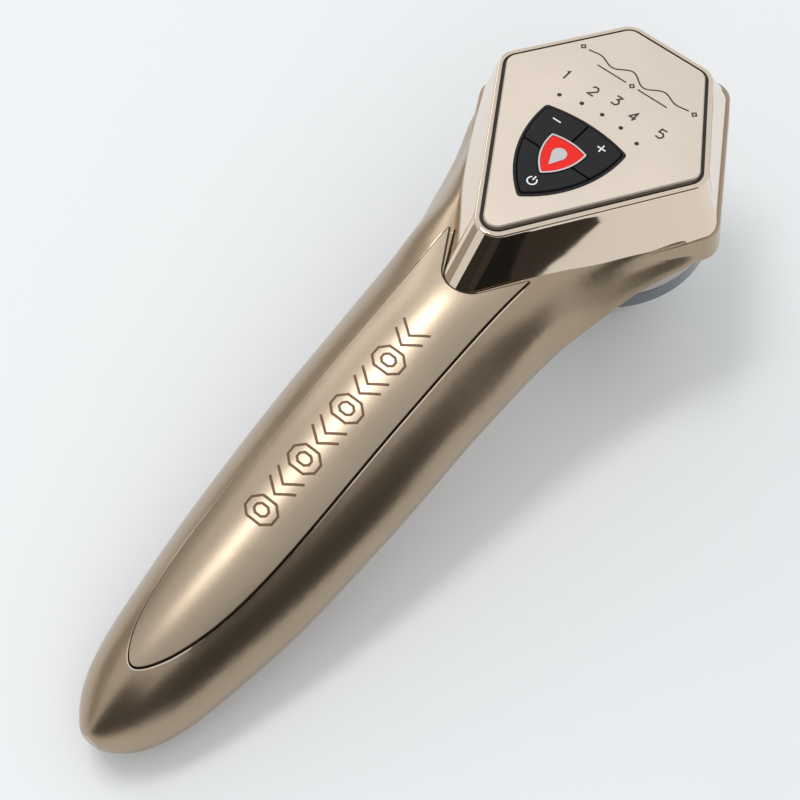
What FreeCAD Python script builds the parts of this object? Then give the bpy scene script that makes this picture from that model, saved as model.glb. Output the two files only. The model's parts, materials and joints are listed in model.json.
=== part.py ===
import FreeCAD, Part
import functools
import math
import os

# Hand-held facial skin-care device, lying on its treatment head and tail.
# Millimetres. +X runs from the handle's tail to the head, +Z is up, Y = 0 is the mirror plane.
# Origin: on the resting plane, below the middle of the device.

V = FreeCAD.Vector
UP = V(0, 0, 1)

# ---------------------------------------------------------------- driving dimensions
# Face plate: pentagon given by its apex, wide corner and end corner.
PLATE = {"apex": 21.2, "wide": (60.5, 25.0), "end": (83.65, 9.6)}
PLATE_TOP = 55.5
PLATE_THICK = 1.4
PLATE_CORNER = 2.8
PLATE_GAP = 0.8

# Bezel: a flared pentagon frustum from the bead round the plate down to its skirt.
BEAD_GROW = 1.85
BEAD_TOP = 54.8
BEAD_FOOT = 54.2
SKIRT = {"apex": 7.4, "wide": (61.0, 31.25), "end": (94.3, 10.5)}
SKIRT_Z = 41.05
SKIRT_CORNER = 4.6
NOSE_RADIUS = 3.0
BEZEL_FOOT = {"apex": 3.8, "wide": (61.0, 31.25), "end": (94.3, 10.5)}
BEZEL_NOSE_RADIUS = 5.0
BEZEL_WALL = 1.9
DECK_TOP = 54.0
DECK_THICK = 2.0

# Head wall of the main shell, and the dish below it.
WALL_GROW = 0.4
RIM_GROW = 1.2
WALL_TOP = 41.3
RIM_Z = 35.2
DISH_Z = 25.8
DISH_GROW = -5.5
BOSS_RADIUS = 25.6
OPENING_GROW = -5.0

# Casing skin.
SKIN = 2.6
POCKET_DEPTH = 1.4
COVER_PROUD = 0.45
COVER_GAP = 0.35
SEAM_GAP = 0.12

# Handle sections: x, half width, equator height, crown height, belly height.
HANDLE = [
    (-95.5, 2.0, 9.4, 11.5, 7.6),
    (-94.8, 3.4, 9.1, 12.8, 6.0),
    (-93.2, 5.3, 8.6, 14.5, 4.2),
    (-90.5, 7.7, 8.2, 16.7, 2.3),
    (-86.0, 10.2, 8.3, 19.6, 0.9),
    (-79.0, 12.4, 9.0, 22.6, 0.4),
    (-68.0, 14.4, 10.7, 25.9, 1.1),
    (-54.0, 16.4, 13.3, 29.4, 2.9),
    (-38.0, 17.7, 17.4, 33.3, 6.4),
    (-20.0, 18.6, 22.0, 38.0, 10.4),
    (-4.0, 18.9, 26.2, 41.6, 14.0),
    (10.0, 19.4, 29.0, 44.5, 16.8),
]

# Neck sections: x, crown height, shoulder (y, z), mid flank (y, z), rim (y, z), belly height,
# hollowness of the underside (1 is a half ellipse, 2 runs straight down from the rim).
NECK = [
    (23.0, 44.9, (10.2, 44.3), (18.3, 38.8), (20.6, 30.7), 19.2, 1.2),
    (33.0, 43.9, (15.0, 43.6), (20.0, 38.6), (22.9, 32.6), 21.4, 1.6),
    (43.0, 42.7, (20.9, 42.5), (22.9, 38.3), (25.3, 34.2), 23.6, 2.0),
    (51.0, 41.9, (25.6, 41.8), (26.3, 38.4), (28.2, 35.0), 25.3, 2.0),
    (58.0, 41.0, (28.8, 40.9), (29.2, 38.3), (30.0, 35.7), 26.6, 2.0),
]
HANDLE_HOLLOW = 0.9
SHOULDER_SHARE = 0.52
MID_ANGLE = 60.0

# Parting line between main shell and back cover, in side view (x, z).
SEAM = [
    (-97.0, 3.6), (-79.0, 4.4), (-54.0, 10.0), (-20.0, 18.2),
    (10.0, 25.2), (33.0, 31.6), (48.0, 34.6), (58.0, RIM_Z),
]

# Handle cover in plan view: tip and one long edge up to the prong beside the bezel's nose.
COVER_TIP = -81.7
COVER_EDGE = [
    (-77.9, 3.7), (-73.7, 5.5), (-68.3, 7.0), (-55.4, 8.8), (-40.0, 9.35),
    (-22.6, 9.45), (-5.0, 9.6), (12.0, 9.9), (24.3, 10.5),
]
NOTCH_RADIUS = 6.0
NOTCH_X = 12.6
NOTCH_SLOPE = 0.598

# Keypad: curved triangle with its arcs' heights.
SHIELD = {"wide": (55.3, 10.35), "tip": 32.75, "top_rise": 1.45, "side_rise": 3.25, "r": 0.9}
BADGE = {"wide": (49.6, 4.45), "tip": 39.9, "top_rise": 0.7, "side_rise": 1.35, "r": 0.35}
BADGE_SEAT = 55.2
BADGE_RIM_TOP = 56.15
BADGE_FACE = 56.0
FRAME_RIM = 0.55
KEY_GAP = 0.25
KEY_SPLIT = 0.45
KEY_TOP = 56.0
KEY_FOOT = 53.4
FRAME_TOP = 55.65
RIB_TOP = 54.0
RIB_WIDTH = 1.2
KEY_TRAVEL = 0.4
SPLIT_X = 45.2
STUDS = {"low": (52.3, 6.0), "high": (52.3, -6.0), "power": (37.4, 0.0)}
STUD_RADIUS = 1.1
STUD_FOOT = 50.2

# Indicators.
INDICATORS = [(59.1, 10.0), (60.3, 5.05), (60.6, 0.0), (60.3, -5.05), (59.1, -10.0)]
PIPE_RADIUS = 0.45

# Key board and its switches.
BOARD_TOP = 47.2
BOARD_THICK = 1.2
SWITCH_SIZE = 6.0
SWITCH_TOP = 49.7
PLUNGER_RADIUS = 1.2
PLUNGER_FOOT = 48.85
MAT_TOP = 52.0
MAT_THICK = 0.7

# Treatment head: stacked rings on one vertical axis.
HEAD_AXIS_X = 65.8
COLLAR_TOP = 26.5
COLLAR_FOOT = 20.3
BAND_FOOT = 15.5
BAND_RADIUS = 24.9
ELECTRODE_FOOT = 8.5
CONTACT_RADIUS = 17.8
CONTACT_FLAT = 14.0

# Battery, tilted with the handle.
CELL_RADIUS = 7.0
CELL_LENGTH = 50.0
CELL_START = V(-54.5, 0, 14.2)
HANDLE_TILT = 13.0
BOARD_LIFT = 8.7
LEAD_RADIUS = 0.6
CHIPS = [(14, -2.5, 5, 5, 0.9), (22, -3.5, 6, 6, 1.1), (34, 0.6, 4, 4, 0.9), (40, -4.5, 4, 4, 1.2)]

# Vibration motor across the neck.
MOTOR_X = 33.0
MOTOR_Z = 33.0
MOTOR_RADIUS = 6.0
MOTOR_FROM_Y = -11.0
MOTOR_TO_Y = 6.0
SHAFT_RADIUS = 1.0
WEIGHT_RADIUS = 5.2

# Charging contacts in the belly.
CONTACTS_X = -64.0
CONTACT_SPACING = 8.0
CONTACT_END = 3.4
CONTACT_STUD = 1.5

# Screws.
CASE_SCREWS = [(-75.5, 0.0, 8.0, 15.0), (8.5, 7.2, 20.0, 32.0), (8.5, -7.2, 20.0, 32.0)]
BEZEL_SCREWS = [(56.0, 23.6), (56.0, -23.6), (89.2, 6.2), (89.2, -6.2)]
BEZEL_BOSS_HEIGHT = 4.0
BEZEL_SCREW_LENGTH = 5.0
SLOT_SIZE = 0.4
BOARD_SCREWS = [(31.0, 0.0), (62.0, 17.5), (62.0, -17.5), (77.0, 0.0)]


# ---------------------------------------------------------------- plan outlines
def line_meet(p, d, q, e):
    """Point where the line through p along d meets the line through q along e."""
    cross = d[0] * e[1] - d[1] * e[0]
    t = ((q[0] - p[0]) * e[1] - (q[1] - p[1]) * e[0]) / cross
    return (p[0] + t * d[0], p[1] + t * d[1])


def pentagon(shape, grow):
    """Corners of a mirror-symmetric pentagon moved outward by grow, from the apex anticlockwise."""
    apex = (shape["apex"], 0.0)
    wide = shape["wide"]
    end = shape["end"]
    side = (wide[0] - apex[0], wide[1])
    front = (end[0] - wide[0], end[1] - wide[1])
    side_len = math.hypot(*side)
    front_len = math.hypot(*front)
    side_at = (apex[0] - grow * side[1] / side_len, apex[1] + grow * side[0] / side_len)
    front_at = (wide[0] - grow * front[1] / front_len, wide[1] + grow * front[0] / front_len)
    top = line_meet(side_at, side, front_at, front)
    tip = line_meet(side_at, side, (0.0, 0.0), (1.0, 0.0))
    far = line_meet(front_at, front, (end[0] + grow, 0.0), (0.0, 1.0))
    return [tip, (top[0], -top[1]), (far[0], -far[1]), far, top]


def rounded_wire(corners, radii, z):
    """Closed wire at height z through corners, each rounded by its radius."""
    count = len(corners)
    starts = []
    arcs = []
    for i in range(count):
        before = V(*corners[i - 1], z)
        here = V(*corners[i], z)
        after = V(*corners[(i + 1) % count], z)
        back = (before - here).normalize()
        ahead = (after - here).normalize()
        half = back.getAngle(ahead) / 2
        reach = radii[i] / math.tan(half)
        centre = here + (back + ahead).normalize() * (radii[i] / math.sin(half))
        middle = centre + (here - centre).normalize() * radii[i]
        starts.append(here + back * reach)
        arcs.append((here + back * reach, middle, here + ahead * reach))
    edges = []
    for i in range(count):
        edges.append(Part.Arc(*arcs[i]).toShape())
        edges.append(Part.LineSegment(arcs[i][2], starts[(i + 1) % count]).toShape())
    return Part.Wire(edges)


def plate_wire(grow, z):
    radius = max(PLATE_CORNER + grow, 0.4)
    return rounded_wire(pentagon(PLATE, grow), [radius] * 5, z)


def skirt_wire(grow, z):
    corner = max(SKIRT_CORNER + grow, 0.8)
    nose = max(NOSE_RADIUS + grow, 0.8)
    return rounded_wire(pentagon(SKIRT, grow), [nose, corner, corner, corner, corner], z)


def prism(wire, height):
    return Part.Face(wire).extrude(UP * height)


def frustum(lower, upper):
    return Part.makeLoft([lower, upper], True, True)


def shield_wire(shape, grow, z):
    """Curved triangle with three bulging sides and rounded corners, moved outward by grow."""
    wide = shape["wide"]
    corners = [V(shape["tip"], 0, z), V(wide[0], -wide[1], z), V(wide[0], wide[1], z)]
    rises = [shape["side_rise"], shape["top_rise"], shape["side_rise"]]
    edges = []
    for i in range(3):
        a = corners[i]
        b = corners[(i + 1) % 3]
        chord = b - a
        outward = V(chord.y, -chord.x, 0).normalize()
        edges.append(Part.Arc(a, (a + b) * 0.5 + outward * rises[i], b).toShape())
    face = Part.Face(Part.Wire(edges))
    inset = face.makeOffset2D(grow - shape["r"]) if abs(grow - shape["r"]) > 1e-6 else face
    return inset.makeOffset2D(shape["r"]).OuterWire


# ---------------------------------------------------------------- body surface
def spline(points):
    curve = Part.BSplineCurve()
    curve.interpolate(Points=points)
    return curve.toShape()


def half_handle(row, inset):
    """Crown, shoulder, mid flank and rim of one handle section, moved inward by inset."""
    width, equator, crown, belly = row[1:]
    a = width - inset
    b = crown - equator - inset
    shoulder = math.asin(SHOULDER_SHARE)
    mid = math.radians(MID_ANGLE)
    points = [(0.0, equator + b)]
    for angle in (shoulder / 2, shoulder, mid, (mid + math.pi / 2) / 2, math.pi / 2):
        points.append((a * math.sin(angle), equator + b * math.cos(angle)))
    return points, belly + inset


def half_neck(row, inset):
    crown, shoulder, mid, rim, belly = row[1:6]
    low = ((mid[0] + rim[0]) / 2 + 0.15, (mid[1] + rim[1]) / 2)
    half = (shoulder[0] * 0.52, crown * 0.75 + shoulder[1] * 0.25)
    points = [(0.0, crown - inset), (half[0], half[1] - inset)]
    points.append((shoulder[0] - 0.7 * inset, shoulder[1] - 0.7 * inset))
    for y, z in (mid, low, rim):
        points.append((y - inset, z))
    return points, belly + inset


def section(x, points, belly, hollow):
    """Closed section at x: one spline over the top and one under the belly."""
    top = [V(x, -y, z) for y, z in reversed(points)] + [V(x, y, z) for y, z in points[1:]]
    rim_y, rim_z = points[-1]
    depth = rim_z - belly
    under = []
    for step in range(13):
        angle = math.pi * step / 12
        under.append(V(x, rim_y * math.cos(angle), rim_z - depth * math.sin(angle) ** hollow))
    return Part.Wire([spline(top), spline(under)])


@functools.lru_cache(maxsize=None)
def body_loft(inset):
    """Solid of the handle and neck, its skin moved inward by inset."""
    wires = []
    for row in HANDLE:
        if row[1] - inset < 1.0 or row[3] - row[4] - 2 * inset < 1.5:
            continue
        points, belly = half_handle(row, inset)
        wires.append(section(row[0], points, belly, HANDLE_HOLLOW))
    for row in NECK if inset <= 0 else NECK[:-1]:
        points, belly = half_neck(row, inset)
        wires.append(section(row[0], points, belly, row[6]))
    return Part.makeLoft(wires, True, False)


@functools.lru_cache(maxsize=None)
def body(inset):
    """Whole body: handle and neck, head wall, the dish under the head and the round boss in it."""
    rim = skirt_wire(RIM_GROW - inset, RIM_Z)
    wall = frustum(rim, skirt_wire(WALL_GROW - inset, WALL_TOP - inset))
    dish = frustum(skirt_wire(DISH_GROW - 0.6 * inset, DISH_Z + inset), rim)
    block = prism(skirt_wire(RIM_GROW - inset, COLLAR_TOP), RIM_Z - COLLAR_TOP)
    boss = cylinder(HEAD_AXIS_X, 0, COLLAR_TOP, BOSS_RADIUS - inset, RIM_Z - COLLAR_TOP).common(block)
    return body_loft(inset).fuse([wall, dish, boss]).removeSplitter()


def side_slab(points, below):
    """Block bounded by a side-view line through points: everything below it, or above it."""
    far = -40.0 if below else 120.0
    line = [V(x, -60, z) for x, z in points]
    line += [V(120, -60, points[-1][1]), V(120, -60, far), V(points[0][0], -60, far), line[0]]
    return Part.Face(Part.makePolygon(line)).extrude(V(0, 120, 0))


def seam_points(shift):
    return [(x, z + shift) for x, z in SEAM]


# ---------------------------------------------------------------- handle cover
def mirrored(point):
    return V(point.x, -point.y, point.z)


def grown_edge(grow, z):
    """The cover's long edge moved outward by grow."""
    edge = [V(COVER_TIP, 0, z)] + [V(x, y, z) for x, y in COVER_EDGE]
    moved = []
    for i in range(1, len(edge)):
        along = edge[min(i + 1, len(edge) - 1)] - edge[i - 1]
        moved.append(edge[i] + V(-along.y, along.x, 0).normalize() * grow)
    return moved


def cover_wire(grow, z):
    """Lance-shaped outline with two prongs round the bezel's nose, moved outward by grow."""
    edge = grown_edge(grow, z)
    lance = spline([mirrored(p) for p in reversed(edge)] + [V(COVER_TIP - grow, 0, z)] + edge)
    slope = math.atan(NOTCH_SLOPE)
    inward = V(math.sin(slope), -math.cos(slope), 0)
    touch = V(NOTCH_X + NOTCH_RADIUS, 0, z) - inward * (NOTCH_RADIUS - grow)
    bottom = Part.Arc(touch, V(NOTCH_X + grow, 0, z), mirrored(touch)).toShape()
    prong = V(*COVER_EDGE[-1], z)
    start = prong + inward * grow
    upper = Part.LineSegment(start, touch).toShape()
    lower = Part.LineSegment(mirrored(touch), mirrored(start)).toShape()
    if grow == 0:
        return Part.Wire([lance, upper, bottom, lower])
    round_end = Part.Arc(edge[-1], prong + V(grow, 0, 0), start).toShape()
    other_end = Part.Arc(mirrored(start), mirrored(prong) + V(grow, 0, 0), mirrored(edge[-1])).toShape()
    return Part.Wire([lance, round_end, upper, bottom, lower, other_end])


def cover_block(grow):
    """Everything in the cover's outline above the handle's middle."""
    return side_slab(seam_points(3.0), False).common(prism(cover_wire(grow, 5), 60))


def handle_cover():
    plate = body_loft(-COVER_PROUD).common(cover_block(0))
    return plate.cut(body_loft(POCKET_DEPTH - 0.05)).cut(bezel_outer(COVER_GAP))


@functools.lru_cache(maxsize=None)
def cover_pocket():
    return cover_block(COVER_GAP).cut(body_loft(POCKET_DEPTH))


# ---------------------------------------------------------------- casing
def cylinder(x, y, z, radius, height, direction=UP):
    return Part.makeCylinder(radius, height, V(x, y, z), direction)


def main_shell(skin):
    upper_half = side_slab(seam_points(SEAM_GAP / 2), False)
    shell = upper_half.common(skin).cut(body(SKIN))
    shell = shell.cut(prism(skirt_wire(OPENING_GROW, 30), 40))
    inner = body_loft(1.2)
    for x, y, shank_foot, head in CASE_SCREWS:
        boss = cylinder(x, y, 0, 3.0, 60).common(inner).common(upper_half)
        shell = shell.fuse(boss)
        shell = shell.cut(cylinder(x, y, head, 2.1, 40))
        shell = shell.cut(cylinder(x, y, 0, 1.15, 60))
    shell = shell.cut(cover_pocket())
    for x, y in BEZEL_SCREWS:
        shell = shell.fuse(cylinder(x, y, WALL_TOP - SKIN, 3.0, SKIN).common(skin))
        shell = shell.cut(cylinder(x, y, 30, 1.1, 20))
    return shell


def back_cover(skin):
    lower_half = side_slab(seam_points(-SEAM_GAP / 2), True)
    shell = lower_half.common(skin).cut(body(SKIN))
    inner = body_loft(1.2)
    for x, y, shank_foot, head in CASE_SCREWS:
        boss = cylinder(x, y, 0, 2.8, 60).common(inner).common(lower_half)
        shell = shell.fuse(boss)
        shell = shell.cut(cylinder(x, y, shank_foot - 1, 0.85, 40))
    shell = shell.cut(cylinder(HEAD_AXIS_X, 0, 0, BOSS_RADIUS + 0.2, COLLAR_TOP))
    shell = shell.fuse(collar_seat()).cut(seal_groove())
    shell = shell.cut(cylinder(HEAD_AXIS_X, 0, 0, 15.0, 40))
    for x, y in head_screw_places():
        shell = shell.cut(cylinder(x, y, 20, 1.1, 20))
    return shell.cut(contact_seat(0.05))


def collar_seat():
    """Floor disc of the back cover that the treatment head screws to."""
    disc = cylinder(HEAD_AXIS_X, 0, COLLAR_TOP, 24.2, SKIN - 0.4)
    return disc.cut(cylinder(HEAD_AXIS_X, 0, 20, 15.0, 20))


# ---------------------------------------------------------------- bezel and face plate
def bezel_outer(grow):
    radii = [BEZEL_NOSE_RADIUS + grow] + [SKIRT_CORNER + grow] * 4
    foot = rounded_wire(pentagon(BEZEL_FOOT, grow), radii, SKIRT_Z)
    return frustum(foot, plate_wire(BEAD_GROW + grow, BEAD_FOOT))


def head_bezel(skin):
    outer = bezel_outer(0)
    bead = prism(plate_wire(BEAD_GROW, BEAD_FOOT), BEAD_TOP - BEAD_FOOT)
    rim_edges = [e for e in bead.Edges if e.BoundBox.ZMin > BEAD_TOP - 0.01]
    bead = bead.makeFillet(0.45, rim_edges)
    shape = outer.fuse(bead)
    deck_foot = DECK_TOP - DECK_THICK
    drop = (BEAD_FOOT - deck_foot) / (BEAD_FOOT - SKIRT_Z)
    hollow = frustum(skirt_wire(-BEZEL_WALL, SKIRT_Z), plate_wire(BEAD_GROW - BEZEL_WALL + drop, deck_foot))
    shape = shape.cut(hollow)
    shape = shape.cut(prism(plate_wire(PLATE_GAP, DECK_TOP), 5))
    shape = shape.cut(prism(shield_wire(SHIELD, 0.05, 45), 15))
    shape = shape.cut(skin)
    for x, y in BEZEL_SCREWS:
        shape = shape.fuse(cylinder(x, y, WALL_TOP, 2.3, BEZEL_BOSS_HEIGHT).common(outer).cut(skin))
    for x, y in BOARD_SCREWS:
        shape = shape.fuse(cylinder(x, y, BOARD_TOP, 2.1, deck_foot - BOARD_TOP))
    for x, y in BEZEL_SCREWS:
        shape = shape.cut(cylinder(x, y, WALL_TOP - 1, 0.8, BEZEL_BOSS_HEIGHT))
    for x, y in BOARD_SCREWS:
        shape = shape.cut(cylinder(x, y, BOARD_TOP - 1, 0.6, 5))
    for x, y in INDICATORS:
        shape = shape.cut(cylinder(x, y, 45, PIPE_RADIUS + 0.05, 15))
    return shape


def face_plate():
    foot = PLATE_TOP - PLATE_THICK
    shape = prism(plate_wire(0, foot), PLATE_THICK)
    shape = shape.makeChamfer(0.25, [e for e in shape.Edges if e.BoundBox.ZMin > PLATE_TOP - 0.01])
    shape = shape.cut(prism(shield_wire(SHIELD, 0.05, 45), 15))
    for x, y in INDICATORS:
        shape = shape.cut(cylinder(x, y, 45, PIPE_RADIUS + 0.05, 15))
    return shape


def plate_adhesive():
    """Thin adhesive sheet between the deck and the face plate."""
    foot = PLATE_TOP - PLATE_THICK
    shape = prism(plate_wire(-1.0, DECK_TOP), foot - DECK_TOP)
    shape = shape.cut(prism(shield_wire(SHIELD, 0.8, 45), 15))
    for x, y in INDICATORS:
        shape = shape.cut(cylinder(x, y, 45, PIPE_RADIUS + 0.5, 15))
    return shape


# ---------------------------------------------------------------- keypad
def split_bars(width, z, height):
    """Three bars along the lines that part the keys."""
    long_bar = Part.makeBox(14, width, height, V(45, -width / 2, z))
    cross_bar = Part.makeBox(width, 30, height, V(SPLIT_X - width / 2, -15, z))
    return long_bar.fuse(cross_bar)


def keypad_frame():
    foot = DECK_TOP - DECK_THICK
    outer = prism(shield_wire(SHIELD, 0, foot), FRAME_TOP - foot)
    rim = outer.cut(prism(shield_wire(SHIELD, -FRAME_RIM, foot - 1), 10))
    ribs = split_bars(RIB_WIDTH, foot, RIB_TOP - foot).common(outer)
    island = prism(shield_wire(BADGE, 0, foot), BADGE_SEAT - foot)
    return rim.fuse([ribs, island])


def badge_rim():
    outer = prism(shield_wire(BADGE, 0, BADGE_SEAT), BADGE_RIM_TOP - BADGE_SEAT)
    return outer.cut(prism(shield_wire(BADGE, -0.38, BADGE_SEAT - 1), 5))


def badge_inlay():
    return prism(shield_wire(BADGE, -0.42, BADGE_SEAT), BADGE_FACE - BADGE_SEAT)


def badge_drop():
    """Small plain drop motif standing on the badge's face."""
    centre = V(46.3, 0, BADGE_FACE)
    bowl = Part.Arc(centre + V(-0.6, 1.5, 0), centre + V(1.55, 0, 0), centre + V(-0.6, -1.5, 0)).toShape()
    tip = centre + V(-3.6, 0, 0)
    left = Part.LineSegment(centre + V(-0.6, -1.5, 0), tip).toShape()
    right = Part.LineSegment(tip, centre + V(-0.6, 1.5, 0)).toShape()
    return prism(Part.Wire([bowl, left, right]), 0.12)


def key_block():
    """The three key caps as one block before it is parted."""
    cap = prism(shield_wire(SHIELD, -FRAME_RIM - KEY_GAP, KEY_FOOT), KEY_TOP - KEY_FOOT)
    top_edges = [e for e in cap.Edges if e.BoundBox.ZMin > KEY_TOP - 0.01]
    cap = cap.makeFillet(0.3, top_edges)
    cap = cap.cut(prism(shield_wire(BADGE, KEY_GAP, 50), 10))
    cap = cap.cut(split_bars(KEY_SPLIT, 50, 10))
    clear = RIB_WIDTH + 0.6
    return cap.cut(split_bars(clear, 50, RIB_TOP + KEY_TRAVEL + 0.2 - 50))


def key(name):
    x, y = STUDS[name]
    piece = [s for s in key_block().Solids if s.BoundBox.isInside(V(x, y, KEY_TOP - 1))]
    piece = sorted(piece, key=lambda s: (s.CenterOfMass - V(x, y, s.CenterOfMass.z)).Length)[0]
    return piece.fuse(cylinder(x, y, STUD_FOOT, STUD_RADIUS, KEY_FOOT - STUD_FOOT + 0.5))


def plunger(name):
    x, y = STUDS[name]
    return cylinder(x, y, PLUNGER_FOOT, PLUNGER_RADIUS, STUD_FOOT - 0.05 - PLUNGER_FOOT)


def switch_bodies():
    bodies = []
    half = SWITCH_SIZE / 2
    tall = SWITCH_TOP - BOARD_TOP
    for x, y in STUDS.values():
        block = Part.makeBox(SWITCH_SIZE, SWITCH_SIZE, tall, V(x - half, y - half, BOARD_TOP))
        bodies.append(block.cut(cylinder(x, y, PLUNGER_FOOT - KEY_TRAVEL - 0.15, PLUNGER_RADIUS + 0.1, 5)))
    return Part.makeCompound(bodies)


def key_mat():
    """Silicone sheet that seals the keypad under the deck; the key studs pass through it."""
    foot = MAT_TOP - MAT_THICK
    mat = prism(shield_wire(SHIELD, 1.6, foot), MAT_THICK)
    for x, y in STUDS.values():
        mat = mat.cut(cylinder(x, y, foot - 1, STUD_RADIUS + 0.35, 3))
    return mat.cut(cylinder(31.0, 0, foot - 1, 2.4, 3))


def light_pipes():
    """Comb of five clear pins on a bar under the deck."""
    bar = Part.makeBox(3.6, 23.0, 1.4, V(58.0, -11.5, 50.5))
    bar = bar.cut(prism(shield_wire(SHIELD, 1.9, 45), 10))
    pins = [cylinder(x, y, 48.3, PIPE_RADIUS, PLATE_TOP - 0.05 - 48.3) for x, y in INDICATORS]
    return bar.fuse(pins)


def indicator_leds():
    chips = [Part.makeBox(0.8, 1.6, 0.6, V(x - 0.4, y - 0.8, BOARD_TOP)) for x, y in INDICATORS]
    return Part.makeCompound(chips)


def key_board():
    foot = BOARD_TOP - BOARD_THICK
    board = prism(plate_wire(-3.2, foot), BOARD_THICK)
    for x, y in BOARD_SCREWS:
        board = board.cut(cylinder(x, y, foot - 1, 0.9, 4))
    return board


def screw(x, y, seat, length, shank, head, tall, up):
    """Pan-head screw: its head rests on height seat and its shank runs up or down."""
    body_z = seat if up else seat - length
    head_z = seat - tall if up else seat
    shape = cylinder(x, y, body_z, shank, length).fuse(cylinder(x, y, head_z, head, tall))
    slot_z = seat - tall if up else seat + tall - SLOT_SIZE
    slot = Part.makeBox(head * 1.2, SLOT_SIZE, SLOT_SIZE, V(x - head * 0.6, y - SLOT_SIZE / 2, slot_z))
    return shape.cut(slot)


def board_screws():
    seat = BOARD_TOP - BOARD_THICK
    return Part.makeCompound([screw(x, y, seat, 4.6, 0.55, 1.5, 0.9, True) for x, y in BOARD_SCREWS])


def bezel_screws():
    seat = WALL_TOP - SKIN
    length = BEZEL_SCREW_LENGTH
    return Part.makeCompound([screw(x, y, seat, length, 0.75, 1.9, 1.1, True) for x, y in BEZEL_SCREWS])


def case_screws():
    screws = []
    for x, y, shank_foot, head in CASE_SCREWS:
        screws.append(screw(x, y, head, head - shank_foot, 0.8, 2.0, 1.4, False))
    return Part.makeCompound(screws)


# ---------------------------------------------------------------- treatment head
def ring(profile):
    """Solid of revolution about the head axis from (radius, z) corners."""
    points = [V(HEAD_AXIS_X + r, 0, z) for r, z in profile]
    face = Part.Face(Part.makePolygon(points + [points[0]]))
    return face.revolve(V(HEAD_AXIS_X, 0, 0), UP, 360)


def head_screw_places():
    places = []
    for step in range(3):
        angle = math.radians(60 + 120 * step)
        places.append((HEAD_AXIS_X + 20.4 * math.cos(angle), 20.4 * math.sin(angle)))
    return places


def head_collar():
    body_ring = ring([(18.6, COLLAR_TOP), (25.3, COLLAR_TOP), (25.3, 24.6), (24.95, COLLAR_FOOT),
                      (22.4, COLLAR_FOOT), (22.4, 24.3), (18.6, 24.3)])
    for x, y in head_screw_places():
        body_ring = body_ring.cut(cylinder(x, y, 20, 0.8, 8))
    return body_ring.cut(seal_groove())


def seal_groove():
    return Part.makeTorus(23.2, 0.75, V(HEAD_AXIS_X, 0, COLLAR_TOP), UP)


def head_seal():
    return Part.makeTorus(23.2, 0.7, V(HEAD_AXIS_X, 0, COLLAR_TOP), UP)


def diffuser_band():
    return ring([(22.6, 20.2), (BAND_RADIUS - 0.25, 20.2), (BAND_RADIUS, 19.9), (BAND_RADIUS, 15.9),
                 (BAND_RADIUS - 0.4, BAND_FOOT), (21.4, BAND_FOOT), (21.4, 17.2), (22.6, 17.2)])


def electrode_ring():
    return ring([(19.3, 15.4), (24.1, 15.4), (19.9, ELECTRODE_FOOT), (18.9, ELECTRODE_FOOT), (18.9, 12.5)])


def insulator_ring():
    return ring([(17.95, 14.0), (18.85, 14.0), (18.85, 7.6), (17.95, 7.6)])


def contact_plate():
    """Domed metal plate whose flat face touches the skin."""
    return ring([(0.0, 0.0), (CONTACT_FLAT, 0.0), (15.7, 0.7), (16.7, 2.2), (CONTACT_RADIUS, 6.0),
                 (CONTACT_RADIUS, 13.2), (16.3, 13.2), (16.3, 6.6), (15.2, 3.0), (13.6, 1.6), (0.0, 1.6)])


def contact_carrier():
    """Plastic carrier that holds the electrodes up inside the band."""
    return ring([(12.0, 17.0), (21.3, 17.0), (21.3, 15.5), (19.2, 15.5), (18.8, 14.1), (17.9, 14.1),
                 (17.9, 13.3), (12.0, 13.3)])


def led_ring_board():
    return ring([(11.0, 22.2), (22.2, 22.2), (22.2, 21.0), (11.0, 21.0)])


def treatment_leds():
    chips = []
    for step in range(8):
        angle = 45.0 * step + 22.5
        chip = Part.makeBox(2.8, 3.5, 1.6, V(18.0, -1.75, 19.35))
        chip.rotate(V(0, 0, 0), UP, angle)
        chip.translate(V(HEAD_AXIS_X, 0, 0))
        chips.append(chip)
    return Part.makeCompound(chips)


def contact_pins():
    """Sprung pins from the ring board to the two electrodes."""
    inner = [cylinder(HEAD_AXIS_X + 14.2 * s, 0, 17.05, 1.0, 3.9) for s in (-1, 1)]
    outer = [cylinder(HEAD_AXIS_X, 19.6 * s, 17.05, 0.8, 3.9) for s in (-1, 1)]
    return Part.makeCompound(inner + outer)


def temperature_sensor():
    bead = Part.makeSphere(1.3, V(HEAD_AXIS_X, 6.0, 2.95))
    pad = cylinder(HEAD_AXIS_X, 6.0, 1.65, 2.2, 0.8)
    return bead.fuse(pad)


def head_screws():
    seat = COLLAR_TOP + SKIN - 0.4
    return Part.makeCompound([screw(x, y, seat, 4.2, 0.75, 1.9, 1.1, False) for x, y in head_screw_places()])


# ---------------------------------------------------------------- handle interior
def tilted(shape):
    """Turns a shape modelled along +X at the cell's start so that it follows the handle."""
    shape.rotate(V(0, 0, 0), V(0, 1, 0), -HANDLE_TILT)
    shape.translate(CELL_START)
    return shape


def battery_cell():
    can = Part.makeCylinder(CELL_RADIUS, CELL_LENGTH, V(0, 0, 0), V(1, 0, 0))
    cap = Part.makeCylinder(3.0, 0.9, V(CELL_LENGTH, 0, 0), V(1, 0, 0))
    return tilted(can.makeFillet(0.6, [e for e in can.Edges if e.Closed]).fuse(cap))


def battery_tray():
    outer = Part.makeCylinder(CELL_RADIUS + 1.1, CELL_LENGTH + 5, V(-1.5, 0, 0), V(1, 0, 0))
    inner = Part.makeCylinder(CELL_RADIUS + 0.1, CELL_LENGTH + 2, V(-0.2, 0, 0), V(1, 0, 0))
    keep = Part.makeBox(CELL_LENGTH + 8, 30, 12, V(-3, -15, -12.5))
    return tilted(outer.cut(inner).common(keep))


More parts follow.
